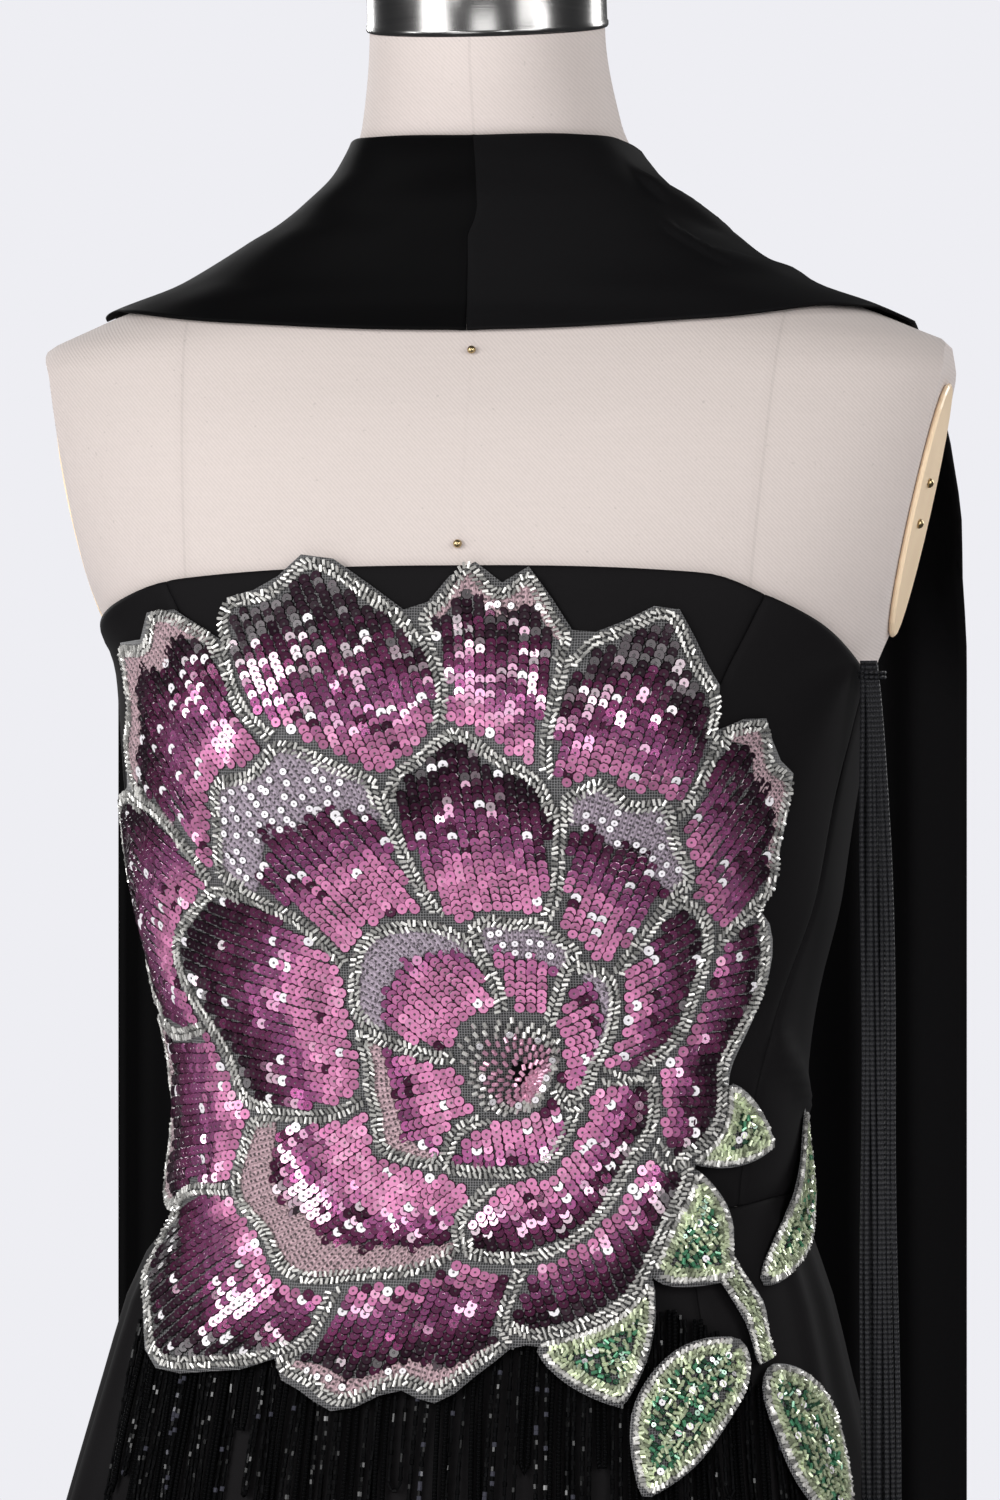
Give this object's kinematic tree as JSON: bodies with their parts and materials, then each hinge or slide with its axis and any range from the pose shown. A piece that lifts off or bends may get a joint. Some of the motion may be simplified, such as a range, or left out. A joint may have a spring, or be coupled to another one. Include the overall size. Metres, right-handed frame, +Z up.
{
  "type": "sequin evening gown with its scarf, on a limbless dress form and stand",
  "caption": "Strapless black evening gown with a sequined bloom, beaded fringe and shoulder scarf, worn by a limbless linen dress form on a pole stand.",
  "frame": {"origin": "middle of the underside of the stand's round base, on the floor", "axes": "+Z up, the gown faces -Y, +X is the wearer's left"},
  "size_m": [0.7736, 0.7361, 1.5741],
  "materials": {
    "form_linen": "matt linen twill",
    "form_steel": "brushed",
    "form_resin": "smooth satin",
    "form_base_paint": "satin black",
    "black_crepe": "satin-backed crepe with a soft sheen",
    "scarf_crepe": "crepe with a soft sheen",
    "zip_tape": "woven tape and nylon coil",
    "zip_metal": "black enamel",
    "sequins_pink": "matt pink sequins with beaded edges on net",
    "sequins_rose": "rose and plum cup sequins with beaded edges on net",
    "sequins_plum": "dark plum cup sequins with beaded edges on net",
    "beads_green": "emerald and celadon beads on net",
    "beads_pale_green": "pale green beads on net",
    "beads_black": "strings of faceted black beads and ribbed cords",
    "cords_black": "chainette cords"
  },
  "bodies": {
    "root": {"back_zip": "zip_tape", "bead_fringe": "beads_black", "bloom_core": "sequins_pink", "bodice_back_left": "black_crepe", "bodice_back_right": "black_crepe", "bodice_centre_front": "black_crepe", "bodice_side_front_left": "black_crepe", "bodice_side_front_right": "black_crepe", "bodice_side_left": "black_crepe", "bodice_side_right": "black_crepe", "cord_hank": "cords_black", "form_armhole_plate_left": "form_resin", "form_armhole_plate_right": "form_resin", "form_base": "form_base_paint", "form_neck_cap": "form_steel", "form_pole": "form_steel", "form_torso": "form_linen", "leaf_long": "beads_green", "leaf_round": "beads_green", "leaf_upper": "beads_green", "petal_inner_1": "sequins_pink", "petal_inner_2": "sequins_pink", "petal_inner_3": "sequins_pink", "petal_inner_4": "sequins_pink", "petal_inner_5": "sequins_pink", "petal_middle_1": "sequins_rose", "petal_middle_2": "sequins_rose", "petal_middle_3": "sequins_rose", "petal_middle_4": "sequins_rose", "petal_middle_5": "sequins_rose", "petal_middle_6": "sequins_rose", "petal_middle_7": "sequins_rose", "petal_outer_1": "sequins_plum", "petal_outer_10": "sequins_plum", "petal_outer_11": "sequins_plum", "petal_outer_2": "sequins_plum", "petal_outer_3": "sequins_plum", "petal_outer_4": "sequins_plum", "petal_outer_5": "sequins_plum", "petal_outer_6": "sequins_plum", "petal_outer_7": "sequins_plum", "petal_outer_8": "sequins_plum", "petal_outer_9": "sequins_plum", "scarf_front_left": "scarf_crepe", "scarf_front_right": "scarf_crepe", "scarf_tail_left": "scarf_crepe", "scarf_tail_right": "scarf_crepe", "sepal_1": "beads_green", "sepal_2": "beads_green", "sepal_3": "beads_green", "skirt_back_left": "black_crepe", "skirt_back_right": "black_crepe", "skirt_front": "black_crepe", "skirt_side_left": "black_crepe", "skirt_side_right": "black_crepe", "stem": "beads_pale_green", "zip_slider": "zip_metal"}
  },
  "joints": []
}
